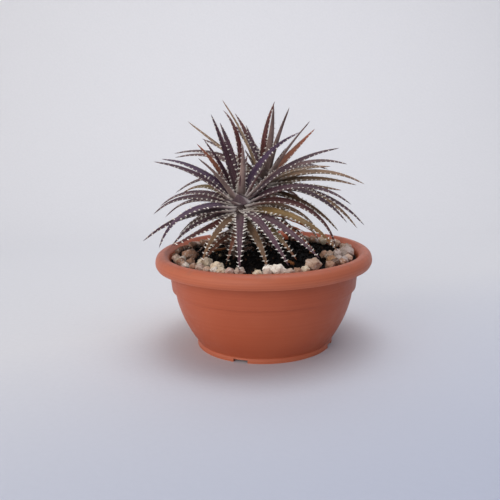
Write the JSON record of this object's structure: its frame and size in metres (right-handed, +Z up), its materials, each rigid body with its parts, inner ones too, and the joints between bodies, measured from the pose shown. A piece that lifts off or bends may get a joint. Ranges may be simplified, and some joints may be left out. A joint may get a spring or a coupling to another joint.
{
  "type": "potted dyckia",
  "caption": "Clump of spiny succulent rosettes with arching purple-grey leaves, growing in a round moulded plastic bowl of soil topped with pebbles.",
  "frame": {"origin": "centre of the bounding box, on the surface that the bowl's foot ring stands on; the bowl's axis stands at X 3 mm, Y -6.4 mm", "axes": "+Z up along the bowl's axis, -Y towards the viewer of the pictured side, +X to the viewer's right"},
  "size_m": [0.226, 0.2328, 0.2472],
  "materials": {
    "plastic": "satin",
    "soil": "matte",
    "pebble": "matte",
    "leaf": "satin",
    "bark": "matte"
  },
  "bodies": {
    "root": {"bowl": "plastic", "soil": "soil", "front_head": "leaf", "rear_head": "leaf", "pebbles_front": "pebble", "pebbles_front_right": "pebble", "pebbles_right": "pebble", "pebbles_back_right": "pebble", "pebbles_back": "pebble", "pebbles_back_left": "pebble", "pebbles_left": "pebble", "pebbles_front_left": "pebble", "bark_chip_1": "bark", "bark_chip_2": "bark", "bark_chip_3": "bark"}
  },
  "joints": []
}
